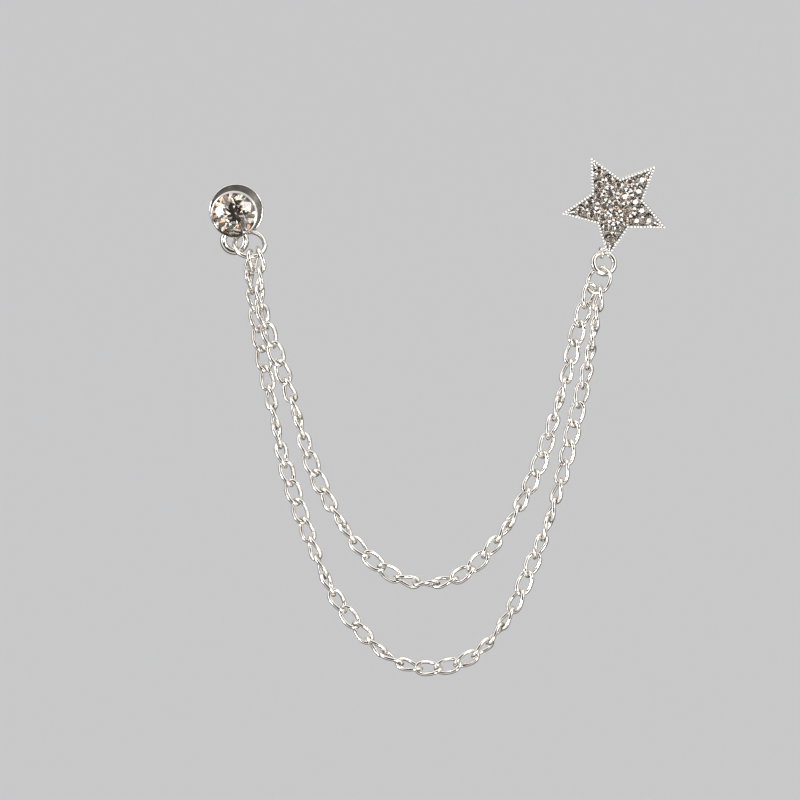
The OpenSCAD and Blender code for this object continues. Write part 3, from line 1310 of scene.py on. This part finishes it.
@dataclass
class Stud:
    """Round stud: tapered cup with a thin bezel, back disc, thick eye, post and large stone."""

    at: Triple = (-72.3, -1.2, -1.4)
    lean: float = 11.0
    turn: float = 4.0
    cup_r: float = 4.45
    cup_depth: float = 4.5
    cup_taper: float = 1.25
    cup_wall: tuple[tuple[float, float], ...] = ((0.06, 1.25), (0.0, 1.1), (0.0, 0.12))
    cup_lip: tuple[tuple[float, float], ...] = ((0.04, 0.03), (0.09, 0.0), (0.14, 0.01), (0.32, 0.10))
    cup_floor: float = 0.1
    pocket_r: float = 0.25
    pocket_depth: float = 3.4
    disc_r: float = 5.2
    disc_t: float = 0.5
    disc_step: float = 0.04
    stone_r: float = 4.1
    stone_gap: float = 0.05
    girdle_h: float = 3.75
    stone_turn: float = 10.5
    eye_at: Triple = (-0.2, -2.75, -5.3)
    eye_r: float = 2.1
    eye_wire: float = 0.68
    foot_y: float = -0.2
    sides: int = 128

    def place(self) -> Place:
        """Where the stud's disc sits."""
        return Place(self.at, rotation("z", -self.turn) @ rotation("x", self.lean))

    def disc(self) -> Shape:
        """The thin back disc with a softly rounded edge.

        Formula: a half circle between two flat faces, turned about the disc's axis.

        Returns:
            The disc in the stud's own axes.
        """
        t, r = self.disc_t / 2, self.disc_r
        a = np.linspace(-np.pi / 2, np.pi / 2, 13)
        edge = list(zip(r - t + t * np.cos(a), t * np.sin(a)))
        back, front, face = r - t - 0.05, r - t - 0.12, t - self.disc_step
        rim = [(0, -t), (back, -t), *edge]
        sunk = [(back, face), (front, face), (0, face)]
        # Painted shade: near-black on the sunk front face inside the rim, standing in for its dark
        # reflection.
        recess_shade = [0.0] * len(rim) + [0.95] * len(sunk)
        return lathe(rim + sunk, self.sides, recess_shade=recess_shade)

    def cup(self) -> Shape:
        """The cup: tapered wall, straight bezel with a rolled lip, and the pocket for the stone.

        Formula: the rows of the wall and the lip are measured in from the wall and down from the
        top. The foot of the cup has painted shade, as it faces the disc.

        Returns:
            The cup in the stud's own axes.
        """
        r, d, seat = self.cup_r, self.cup_depth, self.stone_r + self.stone_gap
        low, g = r - self.cup_taper, self.girdle_h
        foot = [(0, self.cup_floor), (low, self.cup_floor)]
        outside = [(r - across, d - down) for across, down in self.cup_wall + self.cup_lip]
        bottom = g - self.pocket_depth
        pocket = [(seat, d - 0.2), (seat, g - 0.1), (self.pocket_r, bottom), (0, bottom)]
        plain = [0.0] * (len(outside) + len(pocket) - 1)
        # Painted shade: 0.8 at the middle of the cup's foot, 0.6 at its edge and 0.2 at the bottom of
        # the wall.
        return lathe(foot + outside + pocket, self.sides, recess_shade=[0.8, 0.6, 0.2] + plain)

    def eye(self) -> Shape:
        """The thick round eye under the cup.

        Returns:
            The eye in the row frame.
        """
        ring = tube(circle(self.eye_r, 96), self.eye_wire, 24, True)
        x, y, z = self.eye_at
        return ring.raised(-y, x, z).placed(self.place())

    def stone(self) -> Shape:
        """The large brilliant in its seat.

        Returns:
            The stone in the row frame.
        """
        cut = Brilliant(table=0.46, girdle=0.0366, pavilion=0.8, star_reach=0.745, lower_reach=0.3)
        shape = cut.shape()
        points = shape.points @ rotation("z", self.stone_turn).T * self.stone_r
        return Shape(points, shape.faces).raised(self.girdle_h).placed(self.place())

    def build(self, finishes: Finishes) -> None:
        """Adds the stud's metal and its stone.

        Args:
            finishes: the finishes that the pieces share.
        """
        where = self.place()
        post = Post((self.at[0], self.at[2]), self.at[1], self.foot_y)
        turned = [self.disc().placed(where), self.cup().placed(where)]
        metal = join([*turned, self.eye(), post.shape()])
        add_piece("stud_cup", metal, finishes.silver, nodes=("stud_setting",))
        add_piece(
            "stud_brilliant", self.stone(), finishes.crystal, Shading.FACETED, ("stud_stone",)
        )


# Stage


@dataclass(frozen=True)
class SoftBox:
    """A small bright box, far away in one direction, that flat facets mirror."""

    toward: Triple
    half_angle: float
    strength: float
    softness: float = 0.15

    def shape(self, tree: Tree, direction: Socket) -> Socket:
        """1 inside the box and 0 outside, from the cosine of the angle to its middle.

        Args:
            tree: the world's node tree.
            direction: where a ray goes.

        Returns:
            The box's mask.
        """
        dot = tree.nodes.new("ShaderNodeVectorMath")
        dot.operation = "DOT_PRODUCT"
        dot.inputs[1].default_value = Vector(self.toward).normalized()
        tree.links.new(direction, dot.inputs[0])
        angles = self.half_angle * np.array([1 + self.softness, 1 - self.softness])
        low, high = np.cos(np.radians(angles))
        return step(tree, dot.outputs["Value"], float(low), float(high))


def axes(tree: Tree, direction: Socket) -> list[Socket]:
    """The x, y and z of a direction.

    Args:
        tree: the world's node tree.
        direction: the direction.

    Returns:
        Its three parts.
    """
    parts = tree.nodes.new("ShaderNodeSeparateXYZ")
    tree.links.new(direction, parts.inputs[0])
    return list(parts.outputs)


@dataclass(frozen=True)
class MetalSurround:
    """What the metal mirrors: a bright ring round the camera, a dimmer back and sides, and boxes.

    Each edge is the pair of values between which its light comes up. The axes are those of the
    row, so a ray that goes towards the camera has a y of -1.
    """

    ring: float = 1.3
    room: float = 0.05
    ring_edge: tuple[float, float] = (0.60, 0.70)
    behind_edge: tuple[float, float] = (-0.22, -0.06)
    low_edge: tuple[float, float] = (-0.9, 0.2)
    above_edge: tuple[float, float] = (-0.35, 0.75)
    back_edge: tuple[float, float] = (0.45, 0.65)
    back_rise: float = 0.40
    back_low: float = 0.16
    side: float = 0.35
    cool_edge: tuple[float, float] = (0.35, 0.65)
    warm: Triple = (1.0, 0.95, 0.90)
    cool: Triple = (1.0, 0.99, 0.98)
    boxes: tuple[SoftBox, ...] = (
        SoftBox((-0.875, -0.466, -0.13), 9.0, 9.0),
        SoftBox((0.606, -0.783, 0.144), 8.0, 6.0),
        SoftBox((0.19, -0.88, -0.43), 7.0, 10.0),
        SoftBox((0.27, -0.72, -0.64), 6.0, 9.0),
    )

    def node(self, tree: Tree, direction: Socket) -> Node:
        """The surround as a Background node.

        Args:
            tree: the world's node tree.
            direction: where a ray goes.

        Returns:
            The node.
        """
        x, y, z = axes(tree, direction)
        squares = maths(tree, "ADD", maths(tree, "MULTIPLY", x, x), maths(tree, "MULTIPLY", z, z))
        behind = step(tree, y, *self.behind_edge)
        ahead = maths(tree, "SUBTRACT", 1.0, behind)
        off_axis = maths(tree, "SQRT", squares)
        front = maths(tree, "MULTIPLY", step(tree, off_axis, *self.ring_edge), ahead)
        level = maths(tree, "MULTIPLY_ADD", step(tree, z, *self.low_edge), 0.5, 0.5)
        front = maths(tree, "MULTIPLY", front, level)
        glow = maths(tree, "MULTIPLY_ADD", front, self.ring, self.room)
        above = step(tree, z, *self.above_edge)
        back = maths(tree, "MULTIPLY_ADD", above, self.back_rise, self.back_low)
        back = maths(tree, "MULTIPLY", step(tree, y, *self.back_edge), back)
        side = maths(tree, "MULTIPLY", maths(tree, "MULTIPLY", behind, above), self.side)
        glow = maths(tree, "MULTIPLY_ADD", maths(tree, "MAXIMUM", back, side), self.ring, glow)
        for box in self.boxes:
            glow = maths(tree, "MULTIPLY_ADD", box.shape(tree, direction), box.strength, glow)
        cool = maths(tree, "MAXIMUM", front, step(tree, y, *self.cool_edge))
        return background(tree, blend(tree, cool, self.warm, self.cool), glow)


@dataclass(frozen=True)
class StoneSurround:
    """What the stones show: bright patches, some of them amber, and a bright left side."""

    sparkle: float = 1.9
    least: float = 0.04
    patch_scale: float = 12.0
    patch_edge: tuple[float, float] = (0.50, 0.62)
    left_edge: tuple[float, float] = (0.45, 0.6)
    amber_scale: float = 11.0
    amber_edge: tuple[float, float] = (0.59, 0.68)
    pale: Triple = (1.0, 0.92, 0.82)
    amber: Triple = (1.0, 0.55, 0.30)

    def node(self, tree: Tree, direction: Socket) -> Node:
        """The surround as a Background node.

        Args:
            tree: the world's node tree.
            direction: where a ray goes.

        Returns:
            The node.
        """
        patches = step(tree, noise(tree, direction, self.patch_scale, 2.0), *self.patch_edge)
        x, _, _ = axes(tree, direction)
        left = step(tree, maths(tree, "MULTIPLY", x, -1.0), *self.left_edge)
        bright = maths(tree, "MAXIMUM", patches, left)
        shine = maths(tree, "MULTIPLY_ADD", bright, self.sparkle, self.least)
        amber = step(tree, noise(tree, direction, self.amber_scale, 0.0), *self.amber_edge)
        return background(tree, blend(tree, amber, self.pale, self.amber), shine)


@dataclass(frozen=True)
class Lamp:
    """A square soft light. Its place and its side are in millimetres."""

    name: str
    at: Triple
    size: float
    watts: float

    def build(self, target: Vector) -> None:
        """Adds the light, turned towards a place.

        Args:
            target: the place, in metres.
        """
        data = bpy.data.lights.new(self.name, "AREA")
        data.size = self.size * MM
        data.energy = self.watts
        light = bpy.data.objects.new(self.name, data)
        bpy.context.scene.collection.objects.link(light)
        spot = Vector(self.at) * MM
        light.location = spot
        light.rotation_mode = "QUATERNION"
        light.rotation_quaternion = (target - spot).to_track_quat("-Z", "Y")
        light.visible_camera = False
        light.visible_glossy = False
        light.visible_transmission = False


@dataclass
class Studio:
    """Pale sweep, soft light and the camera."""

    middle: tuple[float, float] = (-41.2, -37.4)
    front_y: float = -2.0
    distance: float = 1200.0
    lens: float = 284.2
    sensor: float = 36.0
    backdrop: Triple = (0.80, 0.80, 0.81)
    seen: Triple = (0.57, 0.57, 0.58)
    soft: float = 0.70
    floor: float = -600.0
    sweep_flat: float = 1000.0
    sweep_r: float = 3000.0
    sweep_bend: float = 900.0
    sweep_h: float = 3200.0
    metal: MetalSurround = MetalSurround()
    stones: StoneSurround = StoneSurround()
    lamps: tuple[Lamp, ...] = (
        Lamp("key", (-260, -330, 260), 160, 2.4),
        Lamp("fill", (330, -260, 60), 200, 1.2),
    )

    def sweep(self) -> None:
        """Floor that curves up into a round wall far away, open above: a profile turned about z."""
        a = np.linspace(0, np.pi / 2, 16)
        foot, bend = self.sweep_r - self.sweep_bend, self.sweep_bend
        r = np.concatenate([[0, self.sweep_flat], foot + bend * np.sin(a), [self.sweep_r]])
        z = np.concatenate([[0, 0], bend - bend * np.cos(a), [self.sweep_h]]) + self.floor
        mesh = lathe(list(zip(r, z)), 96).raised(0.0, x=self.middle[0]).mesh("sweep")
        mesh.validate()
        mesh.polygons.foreach_set("use_smooth", np.full(len(mesh.polygons), True))
        made, shader = new_material("Pale backdrop")
        shader.inputs["Base Color"].default_value = (*self.backdrop, 1.0)
        shader.inputs["Roughness"].default_value = 0.9
        shader.inputs["Specular IOR Level"].default_value = 0.1
        mesh.materials.append(made)
        floor = bpy.data.objects.new("sweep", mesh)
        bpy.context.scene.collection.objects.link(floor)
        floor.visible_glossy = False
        floor.visible_transmission = False
        floor.visible_diffuse = False
        floor.visible_shadow = False

    def world(self) -> None:
        """The surround by kind of ray: pale to the eye, one for metal, one for stones, soft light."""
        world = bpy.data.worlds.new("Studio")
        bpy.context.scene.world = world
        world.use_nodes = True
        tree = world.node_tree
        tree.nodes.clear()
        direction = tree.nodes.new("ShaderNodeTexCoord").outputs["Generated"]
        ray = tree.nodes.new("ShaderNodeLightPath").outputs
        lit = background(tree, (1.0, 1.0, 1.0), self.soft)
        lit = either(tree, ray["Is Glossy Ray"], lit, self.metal.node(tree, direction))
        lit = either(tree, ray["Is Transmission Ray"], lit, self.stones.node(tree, direction))
        shown = either(tree, ray["Is Camera Ray"], lit, background(tree, self.seen, 1.0))
        tree.links.new(shown.outputs[0], tree.nodes.new("ShaderNodeOutputWorld").inputs[0])

    def camera(self) -> None:
        """Level camera straight in front of the chain, as in the photo."""
        data = bpy.data.cameras.new("camera")
        data.lens = self.lens
        data.sensor_width = self.sensor
        data.clip_start = 0.01
        data.clip_end = 20.0
        view = bpy.data.objects.new("camera", data)
        bpy.context.scene.collection.objects.link(view)
        x, z = self.middle
        view.location = (x * MM, (self.front_y - self.distance) * MM, z * MM)
        view.rotation_euler = (np.pi / 2, 0.0, 0.0)
        bpy.context.scene.camera = view

    def build(self) -> None:
        """Sets the stage, the lights, the camera and plain tones."""
        bpy.context.scene.view_settings.view_transform = "Standard"
        self.sweep()
        self.world()
        for lamp in self.lamps:
            lamp.build(Vector((self.middle[0], 0, self.middle[1])) * MM)
        self.camera()


OUTER = Strand(
    name="outer_chain",
    node="outer_strand",
    route=[
        (-69.7, -4.6, -9.5), (-69.9, -3.6, -13.0), (-69.2, -2.3, -17.5), (-68.4, -1.9, -22.0),
        (-67.0, -1.9, -30.0), (-65.5, -1.9, -38.5), (-63.5, -1.9, -48.0), (-60.0, -1.9, -59.0),
        (-55.0, -1.9, -72.0), (-50.5, -1.9, -79.0), (-45.0, -1.9, -85.0), (-40.5, -1.9, -87.6),
        (-36.2, -1.9, -88.4), (-32.2, -1.9, -88.0), (-28.2, -1.9, -86.6), (-24.0, -1.9, -83.0),
        (-19.5, -1.9, -76.5), (-16.5, -1.9, -69.5), (-13.5, -1.9, -62.0), (-10.5, -1.9, -52.0),
        (-8.0, -1.9, -41.5), (-6.0, -1.9, -33.0), (-4.5, -2.6, -25.0), (-3.2, -3.2, -16.3),
    ],
    links=47,
    edge_on=[1.6, 9.4, 17.4, 22.7, 29.1, 35.4, 45.2, 59.0],
)
INNER = Strand(
    name="inner_chain",
    node="inner_strand",
    route=[
        (-68.1, -4.0, -9.0), (-67.7, -4.9, -13.0), (-67.8, -5.7, -18.0), (-66.3, -5.0, -24.0),
        (-63.8, -3.8, -31.0), (-61.0, -2.4, -39.5), (-58.0, -1.9, -49.5), (-54.5, -1.9, -57.0),
        (-50.5, -1.9, -63.5), (-46.0, -1.9, -68.2), (-41.0, -1.9, -71.4), (-36.0, -1.9, -72.3),
        (-31.0, -1.9, -71.4), (-26.5, -1.9, -68.3), (-22.0, -1.9, -63.0), (-18.0, -1.9, -56.5),
        (-14.5, -1.9, -49.0), (-12.0, -1.9, -41.0), (-9.5, -1.9, -32.5), (-7.5, -1.3, -24.5),
        (-4.9, -1.9, -15.8),
    ],
    links=39,
    edge_on=[2.4, 9.6, 15.5, 21.2, 26.5, 33.5, 41.0],
)
RINGS = [
    Ring(
        name="left_jump_ring",
        node="left_ring",
        at=(-69.7, -3.0, -7.8),
        radius=2.87,
        wire_r=0.47,
        tilt=-32.5,
        turn=2.5,
        misfit=0.12,
    ),
    Ring(
        name="star_jump_ring",
        node="star_ring",
        at=(-2.44, -1.47, -11.32),
        radius=2.08,
        wire_r=0.54,
        tilt=-8.6,
        turn=16.6,
    ),
    Ring(
        name="right_oval_link",
        node="right_link",
        at=(-3.41, -2.14, -14.64),
        radius=2.43,
        wire_r=0.42,
        lean=22.9,
        tilt=-5.9,
        turn=-36.8,
        half_length=2.6,
    ),
]


def main() -> None:
    """Builds the looks piece by piece around the frame."""
    logging.basicConfig(level=logging.INFO, format="%(name)s: %(message)s")
    finishes = make_finishes()
    for part in (OUTER, INNER, *RINGS, StarPin(), Stud()):
        part.build(finishes)
    Studio().build()


if __name__ == "__main__":
    main()
